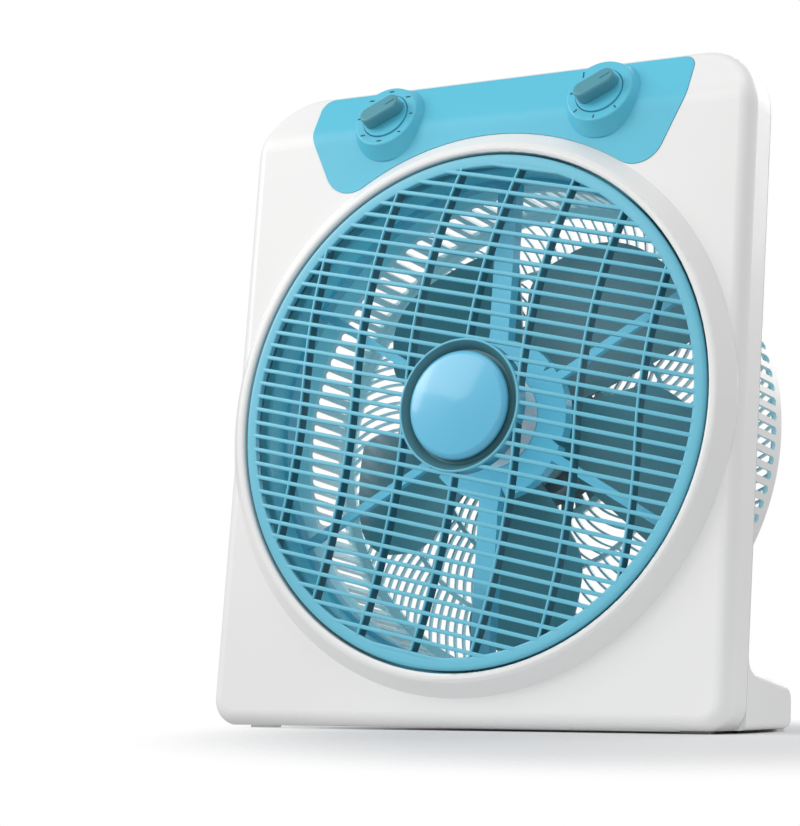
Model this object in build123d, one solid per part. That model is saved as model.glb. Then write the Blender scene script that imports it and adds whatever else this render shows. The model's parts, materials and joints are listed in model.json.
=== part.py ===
from build123d import *
import os
from math import cos, degrees, pi, radians, sin, sqrt, tan

os.makedirs("parts", exist_ok=True)

# A free-standing box fan of the 12 inch size, in millimetres.
# Every sub-part is drawn upright first: x to the right, y from the front face to the rear ("depth"),
# z up along the face ("height").  The finished sub-part is then leaned back and stood on the floor.

# Driving dimensions of the casing
LEAN = 7.3                  # lean-back of the front face, degrees
FACE_LIFT = 4.0             # height of the drawing's zero line above the floor
FLOOR_GAP = 1.8             # casing's underside above the floor
WIDTH = 366.0
TOP = 423.0                 # top of the casing, measured along the face
BOTTOM = -1.5               # bottom of the casing, measured along the face
TOP_CORNER = 43.0
BOTTOM_CORNER = 17.0
FRONT_ROUND = 9.0           # rounding between the face and the sides
WALL = 3.0
SEAM = 28.3                 # depth of the joint line between front and rear casing
RIDGE = 390.5               # height where the face turns back under the controls
RIDGE_SLOPE = 24.0          # degrees
RIDGE_ROUND = 32.0
REAR_DEPTH = 58.0           # depth of the rear casing's back wall
REAR_TAPER = 17.0           # how far the rear casing draws in by then

# Driving dimensions of the fan, all coaxial
AXIS = 196.9                # height of the fan axis along the face
OPENING_R = 166.8
BEAD_R = 181.0              # foot of the raised ring on the face
BEAD_PROUD = 10.4
DUCT_R = 160.0
DUCT_WALL = 2.5
DUCT_FRONT = 9.0
GUARD_BACK = 112.0
GUARD_WALL = 2.5
GUARD_R = DUCT_R + 0.5 + GUARD_WALL
CUP_R = 48.0                # motor cup in the middle of the rear guard
CUP_BACK = 124.0

# Louvre
RIM_OUT = 165.0
RIM_IN = 157.0
RIM_FRONT = -10.0
DOME_RISE = 8.0             # how far the slats bulge forward at the hub
SLAT_PITCH = 8.7
SLAT_THICK = 2.6
SLAT_DEPTH = 4.5
BAR_PITCH = 41.3
BAR_THICK = 1.5
BAR_DEPTH = 9.0
BAR_LEAN = 12.0             # lean of a bar at its middle, degrees
BAR_BEND_R = 430.0          # a bar is S-shaped: two arcs of this radius
LOUVRE_ANGLE = 12.0         # how far round the louvre stands at rest, degrees
HUB_LIP_R = 42.9
HUB_FRONT = -18.6
CAP_R = 34.8
CAP_TRAVEL = 3.5

# Impeller and motor
BLADES = 5
TIP_R = 141.0
BLADE_PHASE = -15.0
SHAFT_R = 4.0
RUNNING = 0.04              # radial clearance of a turning shaft
MOTOR_R = 41.0

# Controls
DIAL_X = 78.8
DIAL_HEIGHT = 398.2
DIAL_DEPTH = -3.2
DIAL_TILT = 17.5            # backward tilt of the dials against the face, degrees
POD_TOP_R = 22.5
POD_BASE_R = 28.0
POD_DEEP = 11.0
KNOB_R = 16.0
GRIP_ANGLE = 30.0
SPINDLE_R = 3.0

# Fasteners
SCREW_R = 1.75
SCREW_HEAD_R = 3.6

LEANED = Pos(0, 0, FACE_LIFT) * Rot(-LEAN, 0, 0)


# ---------------------------------------------------------------- drawing helpers
def slab(sketch, front, back):
    """Plate between two depths, from a front-view sketch (x to the right, y up)."""
    return Rot(90, 0, 0) * (Pos(0, 0, -back) * extrude(sketch, back - front))


def turned(points, rounds=None):
    """Ring or disc on the fan axis, from (radius, depth) corners; rounds maps a corner to its fillet."""
    face = make_face(Polyline(*points, close=True))
    for number, radius in (rounds or {}).items():
        corner = face.vertices().sort_by_distance((*points[number], 0))[0]
        face = fillet(corner, radius)
    return Pos(0, 0, AXIS) * revolve(face, Axis.Y)


def plain_ring(inner, outer, front, back):
    """Square-cornered ring on the fan axis."""
    return turned([(inner, front), (outer, front), (outer, back), (inner, back)])


def rod(radius, front, back, x=0.0, height=AXIS):
    """Cylinder along the depth axis."""
    return Pos(x, (front + back) / 2, height) * Cylinder(radius, back - front, rotation=(90, 0, 0))


def round_fan(part, angle):
    """Turns a part about the fan axis; positive is counter-clockwise seen from the front."""
    return Pos(0, 0, AXIS) * Rot(0, -angle, 0) * Pos(0, 0, -AXIS) * part


def polar(radius, angle):
    """Front-view point about the fan axis."""
    return (radius * cos(radians(angle)), AXIS + radius * sin(radians(angle)))


def screw(x, height, head_depth, tip_depth, shank_r=SCREW_R, head_r=SCREW_HEAD_R):
    """Pan-head screw driven forward from the rear, with a cross recess in its head."""
    head_high = 2.2
    head = rod(head_r, head_depth, head_depth + head_high, x, height)
    head = fillet(head.edges().sort_by(Axis.Y)[-1], 0.8)
    shank = rod(shank_r, tip_depth, head_depth + 0.5, x, height)
    slot_deep = 1.2
    slots = [
        Pos(x, head_depth + head_high - slot_deep / 2, height) * Box(w, slot_deep, h)
        for w, h in ((0.8, head_r * 1.2), (head_r * 1.2, 0.8))
    ]
    return head + shank - slots


def below_level(level):
    """Everything under a level plane, to trim a leaned part."""
    size = 1200.0
    return Pos(0, 0, level - size / 2) * Box(size, size, size)


def ahead_of_seam():
    """Everything in front of the joint line, leaned."""
    size = 1200.0
    return LEANED * (Pos(0, SEAM - size / 2, 0) * Box(size, size, size))


# ---------------------------------------------------------------- casing
def casing_outline(inset, top=TOP, bottom=BOTTOM, width=WIDTH):
    """Front view of the casing, drawn in by inset."""
    wide = width - 2 * inset
    high = top - bottom - 2 * inset
    middle = (top + bottom) / 2
    sketch = Pos(0, middle) * Rectangle(wide, high)
    upper = sketch.vertices().group_by(Axis.Y)[-1]
    sketch = fillet(upper, TOP_CORNER - inset)
    lower = sketch.vertices().group_by(Axis.Y)[0]
    return fillet(lower, max(BOTTOM_CORNER - inset, 2.5))


def casing_block(inset, back):
    """Solid of the casing's outer form drawn in by inset, from the face to the given depth."""
    front = inset
    block = slab(casing_outline(inset), front, back)
    slope = tan(radians(RIDGE_SLOPE))
    start = RIDGE - inset * tan(radians(RIDGE_SLOPE / 2))
    over = 40.0
    wedge = Polygon(
        (front, start), (front + over * slope, start + over),
        (front - over, start + over), (front - over, start),
        align=None,
    )
    block -= extrude(Plane.YZ * wedge, WIDTH, both=True)
    ridge = block.edges().filter_by(Axis.X).sort_by_distance((0, front, start))[0]
    block = fillet(ridge, RIDGE_ROUND)
    rim = [edge for edge in block.edges() if is_front_rim(edge, back)]
    return fillet(rim, FRONT_ROUND - inset)


def is_front_rim(edge, back):
    """True for the edges round the casing's face, not for its corners, its ridge or its rear edge."""
    centre = edge.center()
    box = edge.bounding_box()
    on_rear = box.min.Y > back - 0.01
    on_ridge = abs(centre.X) < 1 and RIDGE - RIDGE_ROUND < centre.Z < RIDGE + RIDGE_ROUND * 0.7
    along_depth = box.size.X < 0.01 and box.size.Z < 0.01
    return not (on_rear or on_ridge or along_depth)


def panel_outline(grow):
    """Front view of the control panel: its lower edge follows the ring, its two lobes hang down beside it."""
    half = 138.0
    side_top = 391.0
    tip = (112.0, 338.0)
    top = 420.3
    outline = Polygon(
        (-half, top), (-half, side_top), (-tip[0], tip[1]), (tip[0], tip[1]), (half, side_top), (half, top),
        align=None,
    )
    outline -= Pos(0, AXIS) * Circle(BEAD_R + 0.5)
    tips = outline.vertices().group_by(Axis.Y)[0]
    outline = fillet(tips, 20.0)
    shoulders = [v for v in outline.vertices() if abs(v.Y - side_top) < 0.1]
    outline = fillet(shoulders, 25.0)
    outline = fillet(outline.vertices().group_by(Axis.Y)[-1], 9.0)
    return offset(outline, grow) if grow else outline


def dial_frame(side):
    """Place on a dial's face: z points out of the face, towards the user, y up the dial."""
    return Pos(side * DIAL_X, DIAL_DEPTH, DIAL_HEIGHT) * Rot(90 - DIAL_TILT, 0, 0)


def on_dial(side, x, y, z):
    """Point given in a dial's own directions."""
    return (dial_frame(side) * Pos(x, y, z)).position


def dial_rod(side, radius, inner, outer):
    """Cylinder on a dial's axis, between two distances outward from the dial's face."""
    return dial_frame(side) * (Pos(0, 0, (inner + outer) / 2) * Cylinder(radius, outer - inner))


SHELL_SCREWS = [(146.0, 383.0), (-146.0, 383.0), (150.0, 24.0), (-150.0, 24.0), (62.0, 18.0), (-62.0, 18.0)]
DUCT_SCREW_R = 173.4
DUCT_SCREW_ANGLES = (45, 135, 225, 315)


def bead():
    """Raised ring round the opening, hollow from the rear, with a collar that reaches back to the duct."""
    outer = turned(
        [
            (OPENING_R, 8.0), (OPENING_R, -BEAD_PROUD), (171.8, -BEAD_PROUD),
            (BEAD_R, 0.0), (BEAD_R, WALL), (178, 8),
        ],
        {1: 1.8, 2: 3.4},
    )
    hollow = turned([(169.3, 9), (169.3, -7.5), (170.8, -7.5), (177.0, 0.2), (177.0, 9)])
    return outer - hollow


def front_shell():
    room = LEANED * casing_block(WALL, SEAM + 5) - below_level(FLOOR_GAP + WALL)
    shell = LEANED * casing_block(0, SEAM) - room - below_level(FLOOR_GAP)
    shell -= LEANED * rod(BEAD_R - 1.5, -5, 20)
    shell += LEANED * bead()
    for x, height in SHELL_SCREWS:
        boss = rod(5.0, WALL - 1, SEAM, x, height) - casing_cutoff()
        shell += LEANED * boss
        shell -= LEANED * rod(SCREW_R + 0.05, 12, SEAM + 1, x, height)
    for angle in DUCT_SCREW_ANGLES:
        x, height = polar(DUCT_SCREW_R, angle)
        shell += LEANED * rod(4.4, -2, DUCT_FRONT, x, height)
        shell -= LEANED * rod(1.45, 0, DUCT_FRONT + 1, x, height)
    recess = slab(panel_outline(0.25), -30, SEAM) - casing_block(1.5, SEAM + 5)
    shell -= LEANED * recess
    core = casing_block(1.5, SEAM + 5)
    for side in (-1, 1):
        shell -= LEANED * dial_rod(side, 21.0, -20, 5)
        shell -= LEANED * (pod_cone(side, 0.25) - core)
    return shell - LEANED * seam_groove()


def seam_groove():
    """Shadow line round the casing, just in front of the joint line."""
    deep = 0.9
    wide = 0.8
    return slab(casing_outline(-5), SEAM - wide, SEAM + 5) - slab(casing_outline(deep), SEAM - 5, SEAM + 6)


def casing_cutoff():
    """Everything in front of the casing's face, to trim bosses that start in the wall."""
    return Pos(0, -50 + 0.5, TOP / 2) * Box(WIDTH, 100, TOP * 2)


def pod_cone(side, grow):
    """Cone-shaped body of a raised dial, enlarged by grow."""
    cone = Cone(POD_BASE_R + grow, POD_TOP_R + grow, POD_DEEP)
    return dial_frame(side) * (Pos(0, 0, -POD_DEEP / 2) * cone)


def control_panel():
    skin = casing_block(-0.4, SEAM) - casing_block(1.45, SEAM + 5)
    skin = skin & slab(panel_outline(0), -30, SEAM - 1)
    inside = casing_block(1.45, SEAM + 5)
    keep = Pos(0, 0, TOP - 0.4 - 300) * Box(WIDTH, 200, 600)
    for side in (-1, 1):
        pod = pod_cone(side, 0)
        crown = pod.edges().sort_by_distance(on_dial(side, 0, POD_TOP_R, 0))[0]
        pod = fillet(crown, 1.6)
        skin += (pod - inside) & keep
        hollow = dial_frame(side) * (Pos(0, 0, -6 - POD_DEEP / 2) * Cone(POD_BASE_R - 3, 19.5, POD_DEEP))
        skin -= hollow
    for side in (-1, 1):
        skin += dial_rod(side, 20.5, -6.0, -3.0)
        skin -= dial_rod(side, KNOB_R + 0.6, -3.5, 10)
        skin -= dial_rod(side, 5.1, -20, 10)
    return LEANED * skin


def rear_form(inset, front, back):
    """Rear casing's outer form: it draws in towards the rear."""
    near = casing_outline(inset)
    share = (back - SEAM) / (REAR_DEPTH - SEAM)
    drawn = REAR_TAPER * share
    far = casing_outline(inset + drawn, top=TOP, bottom=BOTTOM - drawn)
    near_at = Plane(origin=(0, front, 0), x_dir=(1, 0, 0), z_dir=(0, -1, 0))
    far_at = Plane(origin=(0, back, 0), x_dir=(1, 0, 0), z_dir=(0, -1, 0))
    return loft([near_at * near, far_at * far])


# Side view of a foot, leaned: depth and height above the floor
FOOT_BACK = 100.0
FOOT_WIDE = 44.0
FOOT_HIGH = 58.0            # where the foot's shoulder meets the joint line


def foot(side):
    """One rear foot, flush with the casing's side."""
    seam_top = SEAM * cos(radians(LEAN)) + FOOT_HIGH * sin(radians(LEAN))
    profile = Polygon(
        (20, FLOOR_GAP), (FOOT_BACK - 1.5, FLOOR_GAP), (FOOT_BACK, 27.0), (50, 35.5), (38.2, 37.5),
        (seam_top, FOOT_HIGH), (20, FOOT_HIGH),
        align=None,
    )
    rounds = (((FOOT_BACK, 27.0), 9.0), ((FOOT_BACK - 1.5, FLOOR_GAP), 6.0), ((38.2, 37.5), 9.0))
    for corner, radius in rounds:
        profile = fillet(profile.vertices().sort_by_distance((*corner, 0))[0], radius)
    outside = WIDTH / 2 * side
    block = Pos(outside, 0, 0) * extrude(Plane.YZ * profile, -FOOT_WIDE * side)
    rims = [edge for edge in block.edges() if is_foot_rim(edge, outside)]
    return fillet(rims, 4.0)


def foot_pocket(side):
    """Hollow under a foot, open to the floor."""
    front = 50.0
    back = 80.0
    wide = FOOT_WIDE - 9.0
    return Pos(side * (WIDTH - FOOT_WIDE) / 2, (front + back) / 2, 12.0) * Box(wide, back - front, 22.0)


def is_foot_rim(edge, outside):
    """Edges round a foot's outer flank, behind the joint line and above the underside."""
    box = edge.bounding_box()
    flat = box.size.X < 0.01 and abs(box.min.X - outside) < 0.01
    return flat and box.max.Y > 37.0 and box.max.Z > FLOOR_GAP + 0.5 and box.min.Y > 30


HANDLE_X = 66.0             # middle of each handle leg
HANDLE_AXIS = (44.0, 422.5)  # depth and height of the handle's hinge
LUG_GAP = 7.0


def rear_shell():
    outer = LEANED * rear_form(0, SEAM, REAR_DEPTH) + foot(-1) + foot(1)
    outer = outer - ahead_of_seam() - below_level(FLOOR_GAP)
    room = LEANED * rear_form(WALL, SEAM - 0.01, REAR_DEPTH - WALL) - below_level(FLOOR_GAP + WALL)
    shell = outer - room - LEANED * rod(DUCT_R + DUCT_WALL + 1.5, 0, 200)
    form = rear_form(0, SEAM, REAR_DEPTH)
    bosses = [rod(6.5, SEAM, REAR_DEPTH, x, height) & form for x, height in SHELL_SCREWS]
    holes = [rod(SCREW_HEAD_R + 0.6, SEAM + 6, 200, x, height) for x, height in SHELL_SCREWS]
    holes += [rod(SCREW_R + 0.15, SEAM - 1, SEAM + 8, x, height) for x, height in SHELL_SCREWS]
    for angle in GUARD_SCREW_ANGLES:
        x, height = polar(GUARD_SCREW_R, angle)
        bosses.append(rod(5.0, REAR_DEPTH - 12, REAR_DEPTH, x, height))
        holes.append(rod(SCREW_R + 0.05, REAR_DEPTH - 9, 200, x, height))
    holes.append(rod(GLAND_R + 0.1, REAR_DEPTH - 20, 200, *GLAND_AT))
    holes.append(rod(SCREW_R + 0.1, REAR_DEPTH - 5, 200, CAPACITOR_X, CAPACITOR_SCREW_HEIGHT))
    bosses += [handle_lugs(-1), handle_lugs(1)]
    shell = shell + [LEANED * boss for boss in bosses]
    return shell - [LEANED * hole for hole in holes] - [foot_pocket(-1), foot_pocket(1)]


def handle_lugs(side):
    """Two ears either side of a handle leg, rising from the top of the rear casing."""
    depth, height = HANDLE_AXIS
    lugs = Part()
    for offset_x in (-1, 1):
        x = side * HANDLE_X + offset_x * (LUG_GAP / 2 + 2.0)
        head = Pos(x, depth, height) * Cylinder(7.0, 4.0, rotation=(0, 90, 0))
        web = Pos(x, depth, height - 8) * Box(4.0, 14.0, 16.0)
        lugs += head + web
    return lugs - Pos(side * HANDLE_X, depth, height) * Cylinder(3.0, 40, rotation=(0, 90, 0))


def carry_handle():
    """Bail handle, folded back: two legs on the hinge line and a thicker grip between them."""
    depth, height = HANDLE_AXIS
    reach = 52.0
    leg_wide = LUG_GAP - 0.8
    parts = Part()
    for side in (-1, 1):
        x = side * HANDLE_X
        eye = Pos(x, 0, 0) * Cylinder(6.5, leg_wide, rotation=(0, 90, 0))
        leg = Pos(x, reach / 2, 0) * Box(leg_wide, reach, 9.0)
        parts += eye + leg
    grip = Pos(0, reach, 0) * Box(2 * HANDLE_X + leg_wide, 17.0, 11.0)
    grip = fillet(grip.edges().filter_by(Axis.X), 5.0)
    bail = parts + grip
    bail -= Cylinder(3.0 + RUNNING, 400, rotation=(0, 90, 0))
    return LEANED * Pos(0, depth, height) * Rot(HANDLE_REST, 0, 0) * bail


HANDLE_REST = -14.0


def handle_pins():
    depth, height = HANDLE_AXIS
    long = LUG_GAP + 8.0
    pin = Cylinder(2.98, long, rotation=(0, 90, 0))
    return [LEANED * Pos(side * HANDLE_X, depth, height) * pin for side in (-1, 1)]


# ---------------------------------------------------------------- duct, guard and spider
GUARD_SCREW_R = 168.5
GUARD_SCREW_ANGLES = (60, 120, 240, 300)
GLAND_R = 7.0
GLAND_AT = (-146.0, 64.0)


def inner_duct():
    wall = DUCT_R + DUCT_WALL
    duct = turned(
        [
            (DUCT_R, DUCT_FRONT), (169.0, DUCT_FRONT), (169.0, DUCT_FRONT + 2), (wall, DUCT_FRONT + 4),
            (wall, REAR_DEPTH), (DUCT_R, REAR_DEPTH),
        ],
        {0: 1.5},
    )
    for angle in DUCT_SCREW_ANGLES:
        x, height = polar(DUCT_SCREW_R, angle)
        ear = rod(5.5, DUCT_FRONT, DUCT_FRONT + 2, x, height)
        duct += ear - rod(DUCT_R + 1, 0, 50)
        duct -= rod(1.6, 0, 20, x, height)
    return LEANED * duct


SPIDER_FRONT = 27.0
SPIDER_BACK = 36.0
PLATE_R = 52.0
WIDE_ARM = 14.0             # the two upright arms are wide channels
SLIM_ARM = 5.6              # the four others are slim bars
SLIM_ARM_DEEP = 4.5


def front_spider():
    """Six-armed carrier across the duct: an annular plate with its skirt, six arms and an outer ring."""
    ring_in = DUCT_R - 3
    plate = plain_ring(22, PLATE_R, SPIDER_FRONT, SPIDER_FRONT + 3)
    skirt = plain_ring(PLATE_R - 2, PLATE_R, SPIDER_FRONT, SPIDER_BACK)
    ring = plain_ring(ring_in, DUCT_R - 0.05, SPIDER_FRONT, SPIDER_BACK)
    spider = plate + skirt + ring
    inner = PLATE_R - 1.5
    outer = ring_in + 1.0
    middle = (SPIDER_FRONT + SPIDER_BACK) / 2
    for k in range(6):
        angle = 30 + 60 * k
        upright = k % 3 == 1
        if upright:
            deep = SPIDER_BACK - SPIDER_FRONT
            arm = Pos((inner + outer) / 2, middle, AXIS) * Box(outer - inner, deep, WIDE_ARM)
            arm -= Pos((inner + outer) / 2, middle + 2, AXIS) * Box(outer - inner + 9, deep, WIDE_ARM - 3.6)
        else:
            arm = Pos((inner + outer) / 2, SPIDER_FRONT + SLIM_ARM_DEEP / 2, AXIS) * Box(
                outer - inner, SLIM_ARM_DEEP, SLIM_ARM
            )
        spider += round_fan(arm, angle)
    for k in range(6):
        side = 41 + 60 * k
        notch = Polygon(polar(45, side), polar(60, side - 5), polar(60, side + 5), align=None)
        spider -= slab(notch, SPIDER_FRONT - 5, SPIDER_BACK + 5)
    for angle in LOUVRE_MOTOR_SCREW_ANGLES:
        x, height = polar(LOUVRE_MOTOR_SCREW_R, angle)
        spider -= rod(1.5, 20, 40, x, height)
    return LEANED * spider


def guard_slots():
    """Front-view outlines of the swirl slots in the rear guard's back, ring by ring."""
    outlines = []
    rib = 1.5
    for inner, outer, count, twist in ((52, 84, 60, 13), (87, 119.5, 90, 9), (122.5, 156, 120, 7)):
        for k in range(count):
            start = 360 / count * k
            half_in = degrees((pi * inner / count) - rib / 2) / inner
            half_out = degrees((pi * outer / count) - rib / 2) / outer
            middle = (inner + outer) / 2
            half_mid = (half_in + half_out) / 2
            bow = start + twist * 0.38
            end = start + twist
            sides = [
                ThreePointArc(polar(inner, start + s * half_in), polar(middle, bow + s * half_mid),
                              polar(outer, end + s * half_out))
                for s in (-1, 1)
            ]
            caps = [
                ThreePointArc(*[polar(inner, start + s * half_in) for s in (-1, 0, 1)]),
                ThreePointArc(*[polar(outer, end + s * half_out) for s in (-1, 0, 1)]),
            ]
            outlines.append(Wire([sides[0], caps[1], sides[1], caps[0]]))
    return outlines


def rear_guard():
    back_thick = 3.0
    disc = Face(Wire([Pos(0, AXIS) * Edge.make_circle(GUARD_R - GUARD_WALL - 2)]), guard_slots())
    back = slab(Sketch() + disc, GUARD_BACK - back_thick, GUARD_BACK)
    inside = GUARD_R - GUARD_WALL
    wall = turned(
        [
            (inside, REAR_DEPTH + 0.1), (165.6, REAR_DEPTH + 0.1), (165.6, REAR_DEPTH + 2.6),
            (GUARD_R, REAR_DEPTH + 2.6), (GUARD_R, GUARD_BACK), (inside - 4, GUARD_BACK),
            (inside - 4, GUARD_BACK - 3), (inside, GUARD_BACK - 5),
        ],
        {4: 4.0},
    )
    slot_long = 38.0
    slot_wide = 5.2
    count = 108
    middle = 82.0
    cutter = Pos(GUARD_R, middle, AXIS) * extrude(
        Plane.YZ * SlotOverall(slot_long, slot_wide), 8, both=True
    )
    cutters = [round_fan(cutter, 360 / count * k) for k in range(count)]
    wall = wall - cutters
    guard = wall + back
    cup = turned(
        [
            (0, CUP_BACK), (CUP_R, CUP_BACK), (CUP_R + 3, GUARD_BACK - 3), (CUP_R, GUARD_BACK - 3),
            (CUP_R - 3, CUP_BACK - 2.5), (0, CUP_BACK - 2.5),
        ],
        {1: 5.0},
    )
    guard -= rod(CUP_R - 0.5, 90, 120)
    guard += cup
    for angle in GUARD_SCREW_ANGLES:
        ear = rod(6.0, REAR_DEPTH + 0.1, REAR_DEPTH + 2.6, *polar(GUARD_SCREW_R, angle))
        guard += ear - rod(GUARD_R - 1, 0, 200)
    for k in range(24):
        vent = Pos(*polar(37.0, 15 * k)) * Rot(0, 0, 15 * k) * SlotOverall(11.0, 3.0)
        guard -= slab(vent, CUP_BACK - 8, CUP_BACK + 5)
    for angle in GUARD_SCREW_ANGLES:
        x, height = polar(GUARD_SCREW_R, angle)
        guard -= rod(SCREW_R + 0.15, 50, 70, x, height)
    for angle in MOUNT_ANGLES:
        x, height = polar(MOUNT_R, angle)
        guard += rod(4.5, MOTOR_BACK, CUP_BACK - 2, x, height)
        guard -= rod(SCREW_R + 0.1, 100, 140, x, height)
    return LEANED * guard


# ---------------------------------------------------------------- louvre
LOUVRE_SHAFT_R = 3.5
LOUVRE_MOTOR_SCREW_R = 29.0
LOUVRE_MOTOR_SCREW_ANGLES = (0, 180)


def dome_band(front, back):
    """Shallow layer that bulges forward; front and back are offsets from the front surface of the slats."""
    reach = RIM_IN + 2.5
    ball = (RIM_IN ** 2 + DOME_RISE ** 2) / (2 * DOME_RISE)
    crest = RIM_FRONT - 0.2 - DOME_RISE

    def depth(radius):
        return crest + ball - sqrt(ball ** 2 - radius ** 2)

    half = reach / 2
    near = ThreePointArc((0, crest + front), (half, depth(half) + front), (reach, depth(reach) + front))
    far = ThreePointArc((reach, depth(reach) + back), (half, depth(half) + back), (0, crest + back))
    outer = Line((reach, depth(reach) + front), (reach, depth(reach) + back))
    inner = Line((0, crest + back), (0, crest + front))
    return Pos(0, 0, AXIS) * revolve(make_face([near, outer, far, inner]), Axis.Y)


def bar_point(along, across):
    """Point of an S-shaped bar, from its middle: along its length and to its right."""
    if along < 0:
        x, y = bar_point(-along, -across)
        return (-x, -y)
    lean = radians(BAR_LEAN)
    turn = lean - along / BAR_BEND_R
    reach = BAR_BEND_R - across
    return (BAR_BEND_R * cos(lean) - reach * cos(turn), BAR_BEND_R * sin(lean) - reach * sin(turn))


def bar_outline():
    """Front view of one bar: two arcs bent opposite ways, longer than the louvre is wide."""
    end = RIM_IN + 12.0
    half = BAR_THICK / 2
    sides = []
    for across in (-half, half):
        stops = [bar_point(along, across) for along in (-end, -end / 2, 0, end / 2, end)]
        sides.append((ThreePointArc(*stops[:3]), ThreePointArc(*stops[2:])))
    top = Line(bar_point(end, -half), bar_point(end, half))
    bottom = Line(bar_point(-end, half), bar_point(-end, -half))
    return make_face([*sides[0], top, *sides[1], bottom])


def louvre_web(slats, front, back):
    """The louvre's strips in one layer of the dome: slats and bars together, or the bars alone."""
    reach = RIM_IN + 2.0
    strips = [Pos(k * BAR_PITCH, 0) * bar_outline() for k in range(-3, 4)]
    if slats:
        count = int(RIM_IN / SLAT_PITCH)
        slat = Rectangle(2 * reach, SLAT_THICK)
        strips += [Pos(0, k * SLAT_PITCH) * slat for k in range(-count, count + 1)]
    pattern = Sketch() + strips
    pattern = (pattern & Circle(reach)) - Circle(HUB_LIP_R - 0.8)
    return slab(Pos(0, AXIS) * pattern, -30, 20) & dome_band(front, back)


def louvre_grille():
    rim = turned(
        [
            (RIM_IN, RIM_FRONT), (RIM_OUT, RIM_FRONT), (RIM_OUT, 4.0),
            (RIM_OUT - 2, 4.0), (RIM_OUT - 2, -5.5), (RIM_IN, -5.5),
        ],
        {0: 1.0, 1: 2.4},
    )
    lip_in = HUB_LIP_R - 1.6
    hub = turned(
        [
            (6.5, -11.0), (lip_in, -11.0), (lip_in, HUB_FRONT), (HUB_LIP_R, HUB_FRONT), (HUB_LIP_R, -8.5),
            (9.0, -8.5), (9.0, 0.0), (LOUVRE_SHAFT_R, 0.0), (LOUVRE_SHAFT_R, -8.5), (6.5, -8.5),
        ],
        {3: 0.7},
    )
    web = louvre_web(True, 0, SLAT_DEPTH)
    ribs = louvre_web(False, SLAT_DEPTH - 1.0, BAR_DEPTH)
    grille = rim + web + ribs + hub
    return LEANED * round_fan(grille, -LOUVRE_ANGLE)


def hub_bezel():
    """Dark conical dish round the centre cap, with the sleeve that the cap slides in."""
    wall = HUB_LIP_R - 1.65
    dish = turned(
        [
            (wall, HUB_FRONT + 0.5), (36.6, -12.6), (9.0, -12.6), (9.0, -17.5), (6.0 + RUNNING, -17.5),
            (6.0 + RUNNING, -11.05), (wall, -11.05),
        ]
    )
    return LEANED * dish


def hub_cap():
    """Domed push-pull cap on a round stem."""
    edge = -19.5
    crown = -24.6
    bow = (CAP_R - 3.0, edge - 1.9)
    outer = make_face(
        [
            ThreePointArc((0, crown), (CAP_R * 0.55, crown + 1.35), bow),
            ThreePointArc(bow, (CAP_R - 0.75, edge + 0.0), (CAP_R, edge + 1.5)),
            Line((CAP_R, edge + 1.5), (CAP_R, -16.5)),
            Line((CAP_R, -16.5), (CAP_R - 2, -16.5)),
            Line((CAP_R - 2, -16.5), (CAP_R - 2, edge + 0.6)),
            Line((CAP_R - 2, edge + 0.6), (6.0, edge + 0.6)),
            Line((6.0, edge + 0.6), (6.0, -12.2)),
            Line((6.0, -12.2), (0, -12.2)),
            Line((0, -12.2), (0, crown)),
        ]
    )
    return LEANED * (Pos(0, 0, AXIS) * revolve(outer, Axis.Y))


def louvre_shaft():
    return LEANED * rod(LOUVRE_SHAFT_R, -7.6, 20.0)


def louvre_motor():
    """Flat synchronous gear motor that turns the louvre, with its mounting flange."""
    can = rod(24.5, 9.0, SPIDER_FRONT)
    can = fillet(can.edges().sort_by(Axis.Y)[0], 1.5)
    flange = rod(32.0, SPIDER_FRONT - 1.2, SPIDER_FRONT)
    boss = rod(6.5, 4.0, 9.5)
    motor = can + flange + boss - rod(LOUVRE_SHAFT_R + RUNNING, 0, 21)
    for angle in LOUVRE_MOTOR_SCREW_ANGLES:
        x, height = polar(LOUVRE_MOTOR_SCREW_R, angle)
        motor -= rod(1.5, 20, 40, x, height)
    return LEANED * motor


def louvre_motor_screws():
    tip = SPIDER_FRONT - 5.0
    spots = [polar(LOUVRE_MOTOR_SCREW_R, angle) for angle in LOUVRE_MOTOR_SCREW_ANGLES]
    return [LEANED * screw(x, h, SPIDER_FRONT + 3.0, tip, 1.45, 2.8) for x, h in spots]


# ---------------------------------------------------------------- impeller and motor
HUB_R = 36.0
HUB_NEAR = 47.0
HUB_FAR = 76.0
MOTOR_FRONT = 80.0
MOTOR_BACK = 114.0
CORE_FRONT = 90.0
CORE_BACK = 104.0
MOUNT_R = 24.0
MOUNT_ANGLES = (45, 135, 225, 315)


def blade_section(radius, chord, pitch, middle):
    """Cambered section of a blade at one radius: upper edge nearer, hollow side facing forward."""
    thick = 2.2
    camber = chord * 0.04
    upward = (0, -sin(radians(pitch)), cos(radians(pitch)))
    place = Plane(origin=(radius, middle, AXIS), x_dir=upward, z_dir=(1, 0, 0))
    near = ThreePointArc((-chord / 2, 0), (0, -camber), (chord / 2, 0))
    edge = -thick * 0.6
    far = ThreePointArc((chord / 2, edge), (0, -camber - thick), (-chord / 2, edge))
    ends = [Line((chord / 2, 0), (chord / 2, edge)), Line((-chord / 2, edge), (-chord / 2, 0))]
    return place * make_face([near, ends[0], far, ends[1]])


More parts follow.
